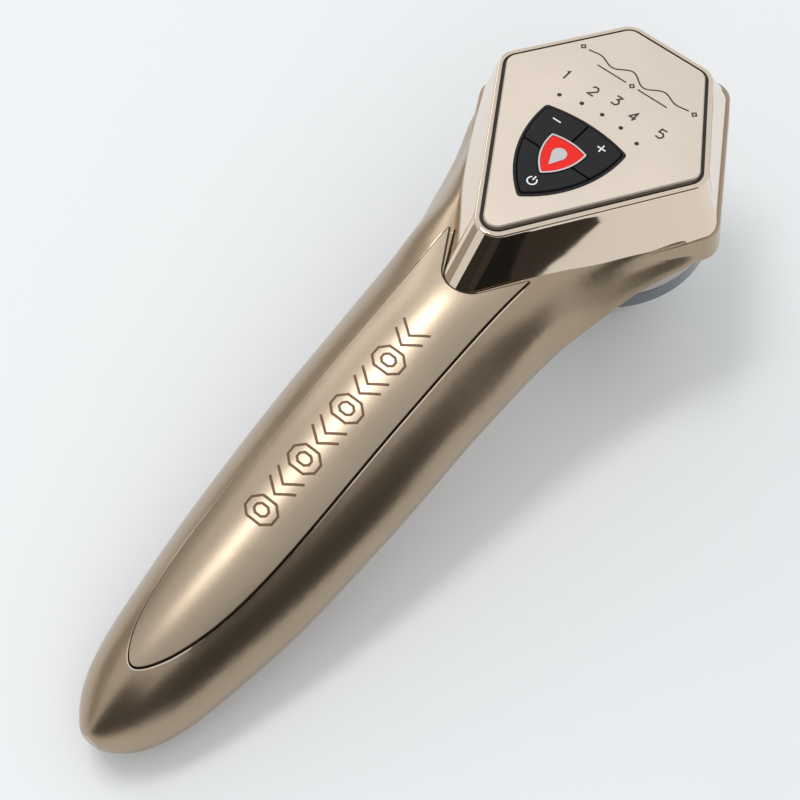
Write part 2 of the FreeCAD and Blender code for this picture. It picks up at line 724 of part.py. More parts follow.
def battery_pads():
    pads = []
    for x in (6.0, 36.0):
        sleeve = Part.makeCylinder(CELL_RADIUS + 1.1, 8, V(x, 0, 0), V(1, 0, 0))
        sleeve = sleeve.cut(Part.makeCylinder(CELL_RADIUS + 0.02, 8, V(x, 0, 0), V(1, 0, 0)))
        pads.append(sleeve.common(Part.makeBox(10, 10, 12, V(x, -5, 0))))
    return tilted(Part.makeCompound(pads))


def main_board():
    return tilted(Part.makeBox(46, 14, 1.0, V(8, -7, BOARD_LIFT)))


def main_chips():
    chips = []
    for x, y, length, width, tall in CHIPS:
        chips.append(Part.makeBox(length, width, tall, V(x, y, BOARD_LIFT + 1.0)))
    return tilted(Part.makeCompound(chips))


def booster_coil():
    place = V(34.5, -3.2, BOARD_LIFT + 1.0)
    core = Part.makeCylinder(2.6, 1.9, place, UP)
    waist = Part.makeCylinder(2.8, 0.9, place + UP * 0.5, UP)
    waist = waist.cut(Part.makeCylinder(1.9, 0.9, place + UP * 0.5, UP))
    return tilted(core.cut(waist))


def buzzer():
    place = V(49.0, 0.0, BOARD_LIFT + 1.0)
    can = Part.makeCylinder(4.0, 2.4, place, UP)
    return tilted(can.cut(Part.makeCylinder(0.7, 3, place + UP * 1.3, UP)))


def battery_socket():
    return tilted(Part.makeBox(4.0, 5.0, 1.6, V(8.6, -2.5, BOARD_LIFT + 1.0)))


# ---------------------------------------------------------------- motor
def along_y(x, z, y0, y1, radius):
    return Part.makeCylinder(radius, y1 - y0, V(x, y0, z), V(0, 1, 0))


def motor_can():
    can = along_y(MOTOR_X, MOTOR_Z, MOTOR_FROM_Y, MOTOR_TO_Y, MOTOR_RADIUS)
    nose = along_y(MOTOR_X, MOTOR_Z, MOTOR_TO_Y, MOTOR_TO_Y + 1.0, 2.2)
    return can.fuse(nose).cut(along_y(MOTOR_X, MOTOR_Z, MOTOR_TO_Y - 8, MOTOR_TO_Y + 2, SHAFT_RADIUS + 0.05))


def motor_sleeve():
    sleeve = along_y(MOTOR_X, MOTOR_Z, MOTOR_FROM_Y + 1.0, MOTOR_TO_Y - 1.0, MOTOR_RADIUS + 1.0)
    return sleeve.cut(along_y(MOTOR_X, MOTOR_Z, MOTOR_FROM_Y, MOTOR_TO_Y, MOTOR_RADIUS))


def motor_bracket():
    """Strap over the sleeve with a foot that stands on the back cover."""
    strap = along_y(MOTOR_X, MOTOR_Z, MOTOR_FROM_Y + 2.5, MOTOR_TO_Y - 2.5, MOTOR_RADIUS + 2.0)
    foot = Part.makeBox(14, 12, 6, V(MOTOR_X - 8, -8.5, MOTOR_Z - 8.6))
    shape = strap.fuse(foot)
    shape = shape.cut(along_y(MOTOR_X, MOTOR_Z, MOTOR_FROM_Y, MOTOR_TO_Y, MOTOR_RADIUS + 1.04))
    return shape.common(body_loft(SKIN + 0.05))


def motor_shaft():
    return along_y(MOTOR_X, MOTOR_Z, MOTOR_TO_Y - 7.5, MOTOR_TO_Y + 7.6, SHAFT_RADIUS)


def motor_weight():
    disc = along_y(MOTOR_X, MOTOR_Z, MOTOR_TO_Y + 1.6, MOTOR_TO_Y + 7.0, WEIGHT_RADIUS)
    half = Part.makeBox(20, 20, 20, V(MOTOR_X - 10, MOTOR_TO_Y - 2, MOTOR_Z - 21.6))
    hub = along_y(MOTOR_X, MOTOR_Z, MOTOR_TO_Y + 1.6, MOTOR_TO_Y + 7.0, 2.2)
    return disc.common(half).fuse(hub).cut(along_y(MOTOR_X, MOTOR_Z, 0, 30, SHAFT_RADIUS))


# ---------------------------------------------------------------- charging contacts
def contact_seat(grow):
    radius = CONTACT_END + grow
    slot = Part.makeBox(CONTACT_SPACING, 2 * radius, 30, V(CONTACTS_X - CONTACT_SPACING / 2, -radius, -5))
    ends = [cylinder(CONTACTS_X + s * CONTACT_SPACING / 2, 0, -5, radius, 30) for s in (-1, 1)]
    block = slot.fuse(ends)
    return block.common(side_slab([(x, z - 3.0) for x, z in SEAM], True))


def contact_insert():
    insert = contact_seat(0).common(body_loft(0.15)).cut(body_loft(SKIN + 0.8))
    for s in (-1, 1):
        insert = insert.cut(cylinder(CONTACTS_X + s * CONTACT_SPACING / 2, 0, -5, CONTACT_STUD + 0.05, 30))
    return insert


def charge_contacts():
    """Two gold-plated studs, slightly below the surface of the insert."""
    studs = []
    for s in (-1, 1):
        stud = cylinder(CONTACTS_X + s * CONTACT_SPACING / 2, 0, -5, CONTACT_STUD, 30)
        studs.append(stud.common(body_loft(0.35)).cut(body_loft(SKIN + 1.8)).common(contact_seat(0)))
    return Part.makeCompound(studs)


# ---------------------------------------------------------------- internal leads
def lead(points, radius, bend):
    """Round lead along straight runs joined by tangent arcs."""
    nodes = [V(p) for p in points]
    edges = []
    at = nodes[0]
    for i in range(1, len(nodes) - 1):
        back = (nodes[i - 1] - nodes[i]).normalize()
        ahead = (nodes[i + 1] - nodes[i]).normalize()
        half = back.getAngle(ahead) / 2
        reach = bend / math.tan(half)
        centre = nodes[i] + (back + ahead).normalize() * (bend / math.sin(half))
        middle = centre + (nodes[i] - centre).normalize() * bend
        edges.append(Part.LineSegment(at, nodes[i] + back * reach).toShape())
        edges.append(Part.Arc(nodes[i] + back * reach, middle, nodes[i] + ahead * reach).toShape())
        at = nodes[i] + ahead * reach
    edges.append(Part.LineSegment(at, nodes[-1]).toShape())
    path = Part.Wire(edges)
    start = (nodes[1] - nodes[0]).normalize()
    profile = Part.Wire(Part.Circle(nodes[0], start, radius).toShape())
    return path.makePipeShell([profile], True, True)


def battery_lead():
    """From the cell's tail end up to the socket on the main board."""
    points = [(-0.02, 0, 4.5), (-2.4, 0, 4.5), (-2.4, 0, 10.5), (8.58, 0, 10.5)]
    return tilted(lead(points, LEAD_RADIUS, 1.4))


def motor_lead():
    """From the motor's back end along the side wall to the main board's edge."""
    start = V(MOTOR_X, MOTOR_FROM_Y - 0.02, MOTOR_Z - 1.0)
    side = start.y - 2.1
    board_edge = V(-5.0, -7.03, 34.9)
    turn = board_edge - V(0, 3.9, 0)
    return lead([start, V(start.x, side, start.z), turn, board_edge], LEAD_RADIUS, 1.4)


def head_lead():
    """From the key board down to the ring board in the treatment head."""
    top = BOARD_TOP - BOARD_THICK - 0.02
    points = [(54.0, 3.0, top), (54.0, 3.0, 40.0), (53.0, 0.0, 34.0), (53.0, 0.0, 22.22)]
    return lead(points, LEAD_RADIUS, 2.0)


# ---------------------------------------------------------------- assembly
def export(name, shape):
    shape.exportStep("parts/%s.step" % name)
    solids = len(shape.Solids)
    print("%-20s solids %d valid %s volume %.0f" % (name, solids, shape.isValid(), shape.Volume))


def build():
    os.makedirs("parts", exist_ok=True)
    skin = body(0)
    export("main_shell", main_shell(skin))
    export("back_cover", back_cover(skin))
    export("handle_cover", handle_cover())
    export("head_bezel", head_bezel(skin))
    export("face_plate", face_plate())
    export("plate_adhesive", plate_adhesive())
    export("keypad_frame", keypad_frame())
    export("badge_rim", badge_rim())
    export("badge_inlay", badge_inlay())
    export("badge_drop", badge_drop())
    for name in STUDS:
        export("key_" + name, key(name))
        export("plunger_" + name, plunger(name))
    export("switch_bodies", switch_bodies())
    export("key_mat", key_mat())
    export("light_pipes", light_pipes())
    export("indicator_leds", indicator_leds())
    export("key_board", key_board())
    export("board_screws", board_screws())
    export("bezel_screws", bezel_screws())
    export("case_screws", case_screws())
    export("head_collar", head_collar())
    export("head_seal", head_seal())
    export("diffuser_band", diffuser_band())
    export("electrode_ring", electrode_ring())
    export("insulator_ring", insulator_ring())
    export("contact_plate", contact_plate())
    export("contact_carrier", contact_carrier())
    export("led_ring_board", led_ring_board())
    export("treatment_leds", treatment_leds())
    export("contact_pins", contact_pins())
    export("temperature_sensor", temperature_sensor())
    export("head_screws", head_screws())
    export("battery_cell", battery_cell())
    export("battery_tray", battery_tray())
    export("battery_pads", battery_pads())
    export("main_board", main_board())
    export("main_chips", main_chips())
    export("booster_coil", booster_coil())
    export("buzzer", buzzer())
    export("battery_socket", battery_socket())
    export("motor_can", motor_can())
    export("motor_sleeve", motor_sleeve())
    export("motor_bracket", motor_bracket())
    export("motor_shaft", motor_shaft())
    export("motor_weight", motor_weight())
    export("contact_insert", contact_insert())
    export("charge_contacts", charge_contacts())
    export("battery_lead", battery_lead())
    export("motor_lead", motor_lead())
    export("head_lead", head_lead())


build()
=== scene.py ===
import json
import math

import bpy
from mathutils import Matrix, Vector
from mathutils.bvhtree import BVHTree


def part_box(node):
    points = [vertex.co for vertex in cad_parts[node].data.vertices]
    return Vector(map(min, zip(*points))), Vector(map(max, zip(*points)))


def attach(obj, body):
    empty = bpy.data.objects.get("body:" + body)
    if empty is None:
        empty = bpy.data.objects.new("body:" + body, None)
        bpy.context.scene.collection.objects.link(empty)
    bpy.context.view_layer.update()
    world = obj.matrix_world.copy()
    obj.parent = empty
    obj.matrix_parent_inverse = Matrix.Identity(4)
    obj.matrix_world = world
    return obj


# A hand-held facial skin-care device: champagne handle and head, five-sided control panel,
# shield keypad, round treatment head underneath. Lengths are in metres, which "* MM" makes them,
# or in plain millimetres where a comment says so.

MM = 0.001

# Camera: where the photograph was taken from, and the way it looks. The lens is in millimetres.
CAMERA_PLACE = (-0.1591, -0.1340, 0.3535)
CAMERA_RIGHT = (0.6520, -0.7582, 0.0)
CAMERA_UP = (0.6444, 0.5541, 0.5270)
CAMERA_BACK = (-0.3996, -0.3436, 0.8499)
LENS = 84.54
CLIP_START = 0.01

# Grain of the materials: noise scales are in features per metre
DRIFT_SCALE, DRIFT_DETAIL = 60, 3
SPECK_DETAIL = 2
RAMP_START, RAMP_END = 0.3, 0.7

FINISHES = {
    "champagne_satin": dict(
        colour=(0.43, 0.33, 0.228), metallic=0.95, roughness=0.31, grain=5000, bump=6e-6,
        spread=0.06, Coat_Weight=0.35, Coat_Roughness=0.22,
    ),
    "champagne_cover": dict(
        colour=(0.43, 0.34, 0.245), metallic=0.95, roughness=0.34, grain=5000, bump=8e-6,
        spread=0.07, Coat_Weight=0.5, Coat_Roughness=0.24,
    ),
    "champagne_mirror": dict(
        colour=(0.84, 0.70, 0.56), metallic=1.0, roughness=0.05, spread=0.02, vary=0.01,
    ),
    "sand_plate": dict(
        colour=(0.73, 0.635, 0.54), metallic=0.85, roughness=0.46, grain=5000, bump=8e-6,
    ),
    "keypad_black": dict(
        colour=(0.010, 0.010, 0.011), metallic=0.0, roughness=0.5, grain=6000, bump=3e-6,
        Specular_IOR_Level=0.22,
    ),
    "badge_silver": dict(colour=(0.80, 0.78, 0.76), metallic=1.0, roughness=0.12),
    "badge_red": dict(
        colour=(0.76, 0.016, 0.010), metallic=0.0, roughness=0.35, Specular_IOR_Level=0.25,
    ),
    "indicator_dark": dict(colour=(0.02, 0.02, 0.02), metallic=0.0, roughness=0.25),
    "collar_beige": dict(
        colour=(0.50, 0.46, 0.42), metallic=0.7, roughness=0.36, grain=9000, bump=1.5e-6,
    ),
    # The slate band's dark colour is painted shade and a painted dark reflection: it stands for
    # the ring's side, which faces down into the shade under the head.
    "band_slate": dict(
        colour=(0.09, 0.10, 0.115), metallic=0.0, roughness=0.12, Coat_Weight=0.5,
    ),
    "electrode_metal": dict(colour=(0.80, 0.79, 0.77), metallic=1.0, roughness=0.14),
    "insulator_white": dict(colour=(0.80, 0.80, 0.79), metallic=0.0, roughness=0.42),
    "seal_rubber": dict(colour=(0.03, 0.03, 0.03), metallic=0.0, roughness=0.75, bump=1e-5),
    "board_green": dict(colour=(0.02, 0.16, 0.07), metallic=0.0, roughness=0.4),
    "component_black": dict(colour=(0.02, 0.02, 0.02), metallic=0.0, roughness=0.5),
    "led_cream": dict(colour=(0.86, 0.82, 0.55), metallic=0.0, roughness=0.3),
    "screw_steel": dict(colour=(0.56, 0.56, 0.58), metallic=1.0, roughness=0.3),
    "cell_blue": dict(colour=(0.03, 0.10, 0.38), metallic=0.0, roughness=0.3),
    "structure_grey": dict(colour=(0.22, 0.22, 0.23), metallic=0.0, roughness=0.55),
    "socket_white": dict(colour=(0.80, 0.79, 0.75), metallic=0.0, roughness=0.5),
    "motor_steel": dict(colour=(0.50, 0.50, 0.52), metallic=1.0, roughness=0.32),
    "weight_tungsten": dict(colour=(0.22, 0.22, 0.24), metallic=1.0, roughness=0.45),
    "contact_gold": dict(colour=(0.83, 0.60, 0.24), metallic=1.0, roughness=0.2),
    "adhesive_clear": dict(colour=(0.62, 0.62, 0.60), metallic=0.0, roughness=0.5),
    "lead_sleeve": dict(colour=(0.52, 0.02, 0.015), metallic=0.0, roughness=0.45),
}
# Finishes of the drawn marks and gaps
MARKS = {
    "engraving_brown": dict(colour=(0.13, 0.075, 0.045), metallic=0.6, roughness=0.45),
    "print_dark": dict(colour=(0.035, 0.026, 0.022), metallic=0.0, roughness=0.4),
    "print_white": dict(colour=(0.80, 0.80, 0.80), metallic=0.0, roughness=0.5),
    # Dark finish for gaps: in the bezel's recess, the cover's pocket and the nose gap it is
    # painted shade, and on the seam it is the joint's own dark line.
    "joint_and_shade_dark": dict(colour=(0.02, 0.014, 0.010), metallic=0.0, roughness=0.3),
    # Lighter finish for the groove's lip: a painted highlight where the casing's edge catches
    # light.
    "lip_painted_highlight": dict(colour=(0.84, 0.68, 0.54), metallic=1.0, roughness=0.2),
}

# Shading of the bezel: edges sharper than this many degrees stay sharp. The floor of its recess,
# which gets painted shade, is the faces near the face plate's underside that look up.
WELD_DISTANCE, EDGE_DEGREES = 0.004 * MM, 28
RECESS_TOLERANCE, FACES_UP = 0.15 * MM, 0.9

# Pocket of the handle cover: how far the groove reaches from the cover's outline, and how far
# under the cover's top lie its faces that are painted with shade. Walls are the faces whose
# normal is nearly level.
POCKET_MARGIN, POCKET_REACH = 1 * MM, 0.45 * MM
WALL_TILT, WALL_LEAST, FLOOR_LEAST, POCKET_DEEPEST = 0.4, 0.6 * MM, 1.2 * MM, 2.3 * MM

# Strips: spacing of their points, how far they stand out of a surface and reach into it, and
# the least cosine at a corner, which keeps a sharp corner from growing a spike. Rays start
# above or beside the object. SWEEP goes evenly from -1 to 1.
STRIP_STEP, STRIP_PROUD = 0.5 * MM, 0.02 * MM
ENGRAVING_SUNK, PRINT_SUNK = 0.08 * MM, 0.02 * MM
SHARPEST_MITRE = 0.5
RAY_TOP, RAY_SIDE = 0.2, 0.06
SWEEP = [i / 30 - 1 for i in range(61)]

# Parting line between the casing's halves in side view, (x, z) in mm
SEAM = [
    (-93, 3.75), (-79, 4.4), (-54, 10.0), (-20, 18.2),
    (10, 25.2), (33, 31.6), (48, 34.6), (56, 35.1),
]
SEAM_DROP, SEAM_WIDTH, SEAM_STEP = 0.15 * MM, 0.24 * MM, 0.8 * MM
SEAM_PROUD, SEAM_SUNK, SEAM_FACES_OUT = 0.01 * MM, 0.3 * MM, 0.25

# Painted highlight: a strip lighter than the casing, outside the groove round the handle cover,
# where its edge catches light. It starts a little short of the prongs' tips, and swings round the
# tail from LIP_TURN before the cover's end. The cover splits into two prongs beyond PRONG_X, so a
# search for its edge starts in a prong there.
COVER_GAP, LIP_WIDTH, LIP_PROUD, LIP_STEP = 0.37 * MM, 0.24 * MM, 0.012 * MM, 1.5 * MM
LIP_TIP, LIP_TURN, LIP_TURN_STEPS = 0.6 * MM, 8 * MM, 24
PRONG_X, PRONG_Y, SPINE_Y = 8 * MM, 8.5 * MM, 2.5 * MM
SEARCH_REACH, SEARCH_HALVINGS = 20 * MM, 18

# Painted shade in the gap between the cover's notch and the bezel's nose: the gap's width, the
# share of it from the cover's edge to the strip's middle, and the strip's depth under the cover's
# top
NOSE_GAP, NOSE_SHARE, NOSE_DEPTH, NOSE_SUNK = 0.40 * MM, 0.35, 0.12 * MM, 0.5 * MM
NOSE_END, NOSE_STEP, NOSE_STEPS = 0.5 * MM, 0.15 * MM, 8

# Engraved motif, reading down the handle, in mm. Its glyphs are drawn with the first number
# from 0 to 1 along the handle and the second from -1 to 1 across it.
MOTIF_START, MOTIF_PITCH, MOTIF_HALF, MOTIF_LENGTH = 2.0, 6.3, 3.5, 4.9
MOTIF_WIDTH = 0.55 * MM
INNER_RING = 0.45
OCTAGON = [
    (0, -0.5), (0.3, -1), (0.7, -1), (1, -0.5), (1, 0.5), (0.7, 1), (0.3, 1), (0, 0.5), (0, -0.5),
]
RINGS = [OCTAGON, [(0.5 + (u - 0.5) * INNER_RING, v * INNER_RING) for u, v in OCTAGON]]
CHEVRONS = [[(at, -1), (at + 0.5, 0), (at, 1)] for at in (0.0, 0.5)]
MOTIF = [CHEVRONS, RINGS] * 4

# Numerals 1 to 5, centred in a box 0.6 wide and 1 tall, and their places on the plate in mm
NUMERALS = [
    [[(-0.12, 0.3), (0.06, 0.5), (0.06, -0.5)]],
    [[
        (-0.3, 0.3), (-0.15, 0.5), (0.15, 0.5), (0.3, 0.3), (0.3, 0.1), (-0.3, -0.5),
        (0.32, -0.5),
    ]],
    [[
        (-0.3, 0.5), (0.28, 0.5), (-0.02, 0.1), (0.18, 0.08), (0.3, -0.1), (0.3, -0.3),
        (0.12, -0.5), (-0.3, -0.45),
    ]],
    [[(0.14, -0.5), (0.14, 0.5), (-0.32, -0.2), (0.34, -0.2)]],
    [[
        (0.28, 0.5), (-0.24, 0.5), (-0.28, 0.08), (0.1, 0.12), (0.3, -0.08), (0.3, -0.3),
        (0.12, -0.5), (-0.3, -0.45),
    ]],
]
NUMERAL_PLACES = [(64.4, 12.3), (64.5, 5.2), (65.6, 0.0), (64.5, -5.2), (64.4, -12.3)]
NUMERAL_SIZE, NUMERAL_WIDTH = 2.4, 0.4 * MM

# Ornamental line near the plate's far end, in mm: a wave, two straight rules, three diamonds
ORNAMENT_X, ORNAMENT_HALF, ORNAMENT_WIDTH = 73.0, 13.0, 0.34 * MM
WAVE_HEIGHT, WAVE_TURN = 1.1, 9.4
RULE_DROP, RULE_STARTS, RULE_LENGTH = 2.2, (-9.0, 1.5), 7.5
DIAMOND, DIAMOND_GAP = 0.55, 1.4

# Marks on the keys, in mm; the power mark's ring is open at the top, its angles in degrees
KEY_MARK_SIZE, KEY_MARK_WIDTH = 2.0, 0.3 * MM
POWER_RADIUS, POWER_FROM, POWER_TO, POWER_STEPS = 0.5, 125, 415, 24
MINUS = [[(-0.5, 0), (0.5, 0)]]
PLUS = MINUS + [[(0, -0.5), (0, 0.5)]]
POWER_BAR = [(0, 0.1), (0, 0.68)]

# Stage
FLOOR_HALF, FLOOR_COLOUR, FLOOR_ROUGHNESS = 3.0, (0.77, 0.78, 0.785), 0.6
CARD_ROUGHNESS = 1.0
WORLD_COLOUR, WORLD_STRENGTH = (0.96, 0.98, 1.0), 0.78

# Lights: name, direction, distance, size, power in watts, whether reflections show it
LIGHTS = [
    ("key_light", (0.01, 0.33, 0.94), 1.2, (0.56, 0.20), 3.7, True),
    ("back_light", (0.30, 0.95, 0.55), 1.4, (0.8, 0.5), 2.0, True),
    ("fill_light", (-0.60, -0.75, 0.80), 1.3, (0.8, 0.8), 2.8, False),
]
# Upright cards that only reflections show: name, the two ends of the foot, height, colour
CARDS = [
    ("dark_card", (-0.34, -0.21), (0.075, -0.24), 0.26, (0.030, 0.024, 0.018)),
    ("tail_card", (-0.34, -0.21), (-0.34, 0.08), 0.40, (0.022, 0.017, 0.012)),
    ("grey_card", (-0.90, 0.50), (0.60, 0.62), 0.30, (0.38, 0.345, 0.30)),
    ("nose_card", (-0.110, -0.078), (-0.004, -0.102), 0.060, (0.002, 0.0015, 0.001)),
]

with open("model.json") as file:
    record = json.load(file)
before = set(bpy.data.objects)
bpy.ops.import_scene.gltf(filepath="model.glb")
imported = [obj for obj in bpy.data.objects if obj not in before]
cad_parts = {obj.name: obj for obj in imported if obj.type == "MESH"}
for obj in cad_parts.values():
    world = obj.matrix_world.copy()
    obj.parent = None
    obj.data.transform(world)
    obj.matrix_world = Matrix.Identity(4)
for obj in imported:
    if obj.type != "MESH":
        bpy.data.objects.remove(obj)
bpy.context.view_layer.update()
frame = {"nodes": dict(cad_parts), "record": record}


# Materials

def ramp(nodes, low, high):
    """A colour ramp node from one colour to another."""
    node = nodes.new("ShaderNodeValToRGB")
    node.color_ramp.elements[0].position = RAMP_START
    node.color_ramp.elements[1].position = RAMP_END
    node.color_ramp.elements[0].color = (*low, 1)
    node.color_ramp.elements[1].color = (*high, 1)
    return node


def noise(nodes, links, coordinates, scale, detail):
    """A noise texture in object space; scale is features per metre."""
    node = nodes.new("ShaderNodeTexNoise")
    node.inputs["Scale"].default_value = scale
    node.inputs["Detail"].default_value = detail
    links.new(coordinates.outputs["Object"], node.inputs["Vector"])
    return node


def material(
    name, colour, metallic, roughness, vary=0.04, grain=3000, bump=0.0, spread=0.03, **sockets
):
    """A surface whose colour and roughness drift a little, with a fine grain in the bump."""
    made = bpy.data.materials.new(name)
    made.use_nodes = True
    nodes, links = made.node_tree.nodes, made.node_tree.links
    shader = nodes["Principled BSDF"]
    shader.inputs["Metallic"].default_value = metallic
    for socket, value in sockets.items():
        shader.inputs[socket.replace("_", " ")].default_value = value
    coordinates = nodes.new("ShaderNodeTexCoord")
    drift = noise(nodes, links, coordinates, DRIFT_SCALE, DRIFT_DETAIL)
    darker = [c * (1 - vary) for c in colour]
    lighter = [min(c * (1 + vary), 1) for c in colour]
    tint = ramp(nodes, darker, lighter)
    links.new(drift.outputs["Fac"], tint.inputs["Fac"])
    links.new(tint.outputs["Color"], shader.inputs["Base Color"])
    speck = noise(nodes, links, coordinates, grain, SPECK_DETAIL)
    rough = nodes.new("ShaderNodeMapRange")
    rough.inputs["To Min"].default_value = max(roughness - spread, 0.0)
    rough.inputs["To Max"].default_value = roughness + spread
    links.new(speck.outputs["Fac"], rough.inputs["Value"])
    links.new(rough.outputs["Result"], shader.inputs["Roughness"])
    if bump:
        relief = nodes.new("ShaderNodeBump")
        relief.inputs["Strength"].default_value = 1.0
        relief.inputs["Distance"].default_value = bump
        links.new(speck.outputs["Fac"], relief.inputs["Height"])
        links.new(relief.outputs["Normal"], shader.inputs["Normal"])
    return made


materials = {name: material(name, **look) for name, look in {**FINISHES, **MARKS}.items()}


def dress(piece, finish):
    """One material all over a piece."""
    piece.data.materials.clear()
    piece.data.materials.append(materials[finish])


for part in frame["record"]["subparts"]:
    dress(frame["nodes"][part["node"]], part["material_slot"])


# Surfaces of the CAD nodes

def smooth(node):
    """Rounds the shading over a node's joined faces, and keeps its sharper edges."""
    piece = frame["nodes"][node]
    if "custom_normal" in piece.data.attributes:
        piece.data.attributes.remove(piece.data.attributes["custom_normal"])
    piece.data.shade_smooth()
    weld = piece.modifiers.new("join", "WELD")
    weld.merge_threshold = WELD_DISTANCE
    split = piece.modifiers.new("edges", "EDGE_SPLIT")
    split.split_angle = math.radians(EDGE_DEGREES)


def tree_of(node):
    """A CAD node's faces, ready to be hit by rays."""
    mesh = frame["nodes"][node].data
    corners = [vertex.co for vertex in mesh.vertices]
    return BVHTree.FromPolygons(corners, [face.vertices for face in mesh.polygons])


def surface_of(node):
    """A function that gives a CAD node's height under a point of the plan, None beside it."""
    tree = tree_of(node)

    def height(x, y):
        hit = tree.ray_cast(Vector((x, y, RAY_TOP)), Vector((0, 0, -1)))[0]
        return hit.z if hit else None

    return height


cover_top = surface_of("handle_cover")
plate_top = surface_of("face_plate")


def shade_gap():
    """The floor of the recess round the face plate is painted with shade: its upward faces get
    the dark finish.
    """
    bezel = frame["nodes"]["head_bezel"].data
    bezel.materials.append(materials["joint_and_shade_dark"])
    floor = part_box("face_plate")[0].z
    for face in bezel.polygons:
        if abs(face.center.z - floor) < RECESS_TOLERANCE and face.normal.z > FACES_UP:
            face.material_index = 1


def shade_pocket():
    """The pocket that the handle cover lies in is painted with shade: its faces in the groove
    round the cover get the dark finish.
    """
    shell = frame["nodes"]["main_shell"].data
    shell.materials.append(materials["joint_and_shade_dark"])
    low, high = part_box("handle_cover")
    for face in shell.polygons:
        x, y, z = face.center
        beside = abs(y) < high.y + POCKET_MARGIN
        if not (low.x - POCKET_MARGIN < x < high.x + POCKET_MARGIN and beside):
            continue
        inward = y - math.copysign(min(abs(y), POCKET_REACH), y)
        top = (
            cover_top(x, inward)
            or cover_top(x + POCKET_REACH, inward)
            or cover_top(x - POCKET_REACH, inward)
        )
        least = WALL_LEAST if abs(face.normal.z) < WALL_TILT else FLOOR_LEAST
        if top and least < top - z < POCKET_DEEPEST:
            face.material_index = 1


smooth("head_bezel")
shade_gap()
shade_pocket()


# Fine strips that follow a surface: engraving, printed marks, the seam, painted shade in the nose
# gap and a painted highlight on the groove's lip

def densify(path, step):
    """The same path with points no further apart than step."""
    points = [Vector(path[0])]
    for a, b in zip(path, path[1:]):
        a, b = Vector(a), Vector(b)
        count = max(1, math.ceil((b - a).length / step))
        points += [a.lerp(b, i / count) for i in range(1, count + 1)]
    return points


def mitres(points, closed):
    """The sideways direction at each point of a plan path, lengthened at corners."""
    sides = []
    last = len(points) - 1
    for i, here in enumerate(points):
        before = points[i - 1] if i > 0 or closed else None
        after = points[(i + 1) % len(points)] if i < last or closed else None
        turns = [(here - before).normalized()] if before is not None else []
        turns += [(after - here).normalized()] if after is not None else []
        along = sum(turns, Vector((0, 0))).normalized()
        side = Vector((-along.y, along.x))
        reach = side.dot(Vector((-turns[0].y, turns[0].x)))
        sides.append(side / max(reach, SHARPEST_MITRE))
    return sides


def section(proud, sunk):
    """A strip's four corners: the side of its middle line, and the rise over the surface."""
    return (1, proud), (1, -sunk), (-1, -sunk), (-1, proud)


def strip_faces(base, count, closed):
    """Faces between a strip's sections, from the vertex base on, with caps if it is open."""
    faces = []
    for i in range(count if closed else count - 1):
        a, b = base + 4 * i, base + 4 * ((i + 1) % count)
        faces += [(a + k, a + (k + 1) % 4, b + (k + 1) % 4, b + k) for k in range(4)]
    if not closed:
        end = base + 4 * (count - 1)
        faces += [(base + 3, base + 2, base + 1, base), (end, end + 1, end + 2, end + 3)]
    return faces


def mesh_piece(name, vertices, faces, finish, body="casing"):
    """A new piece that moves with a body."""
    mesh = bpy.data.meshes.new(name)
    mesh.from_pydata(vertices, [], faces)
    mesh.validate()
    piece = bpy.data.objects.new(name, mesh)
    bpy.context.scene.collection.objects.link(piece)
    dress(piece, finish)
    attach(piece, body)


def strokes(
    name, paths, width, height, finish, proud=STRIP_PROUD, sunk=PRINT_SUNK, body="casing"
):
    """Thin solid strips of one width along plan paths in mm, lying on a surface."""
    vertices, faces = [], []
    for path in paths:
        closed = path[0] == path[-1]
        points = densify([tuple(c * MM for c in p) for p in path], STRIP_STEP)
        if closed:
            points = points[:-1]
        faces += strip_faces(len(vertices), len(points), closed)
        for here, side in zip(points, mitres(points, closed)):
            for sign, rise in section(proud, sunk):
                at = here + side * (sign * width / 2)
                vertices.append((at.x, at.y, height(at.x, at.y) + rise))
    mesh_piece(name, vertices, faces, finish, body)


def seam_line():
    """The dark parting line between the casing's halves, along each side."""
    tree = tree_of("back_cover")
    vertices, faces = [], []
    for side in (-1, 1):
        line = []
        for x, z in densify([(x * MM, z * MM) for x, z in SEAM], SEAM_STEP):
            start = Vector((x, side * RAY_SIDE, z - SEAM_DROP))
            hit, normal = tree.ray_cast(start, Vector((0, -side, 0)))[:2]
            if hit is not None and abs(normal.y) > SEAM_FACES_OUT:
                line.append((hit + Vector((0, 0, SEAM_DROP)), normal))
        faces += strip_faces(len(vertices), len(line), False)
        for i, (at, normal) in enumerate(line):
            along = line[min(i + 1, len(line) - 1)][0] - line[max(i - 1, 0)][0]
            across = normal.cross(along).normalized()
            for sign, rise in section(SEAM_PROUD, SEAM_SUNK):
                vertices.append(at + across * (sign * SEAM_WIDTH / 2) + normal * rise)
    mesh_piece("seam_line", vertices, faces, "joint_and_shade_dark")


def placed(paths, x, y, size):
    """Paths drawn in a unit box, set on the plan so that they read with +X up."""
    return [[(x + v * size, y - u * size) for u, v in path] for path in paths]


def arc(radius, start, end, steps):
    """Points of an arc round the origin; angles in degrees."""
    angles = [math.radians(start + (end - start) * i / steps) for i in range(steps + 1)]
    return [(radius * math.cos(a), radius * math.sin(a)) for a in angles]


def engrave():
    """The motif as dark lines on the handle cover."""
    paths = []
    for i, glyph in enumerate(MOTIF):
        start = MOTIF_START - i * MOTIF_PITCH
        for path in glyph:
            paths.append([(start - u * MOTIF_LENGTH, v * MOTIF_HALF) for u, v in path])
    strokes(
        "cover_engraving", paths, MOTIF_WIDTH, cover_top, "engraving_brown", sunk=ENGRAVING_SUNK
    )


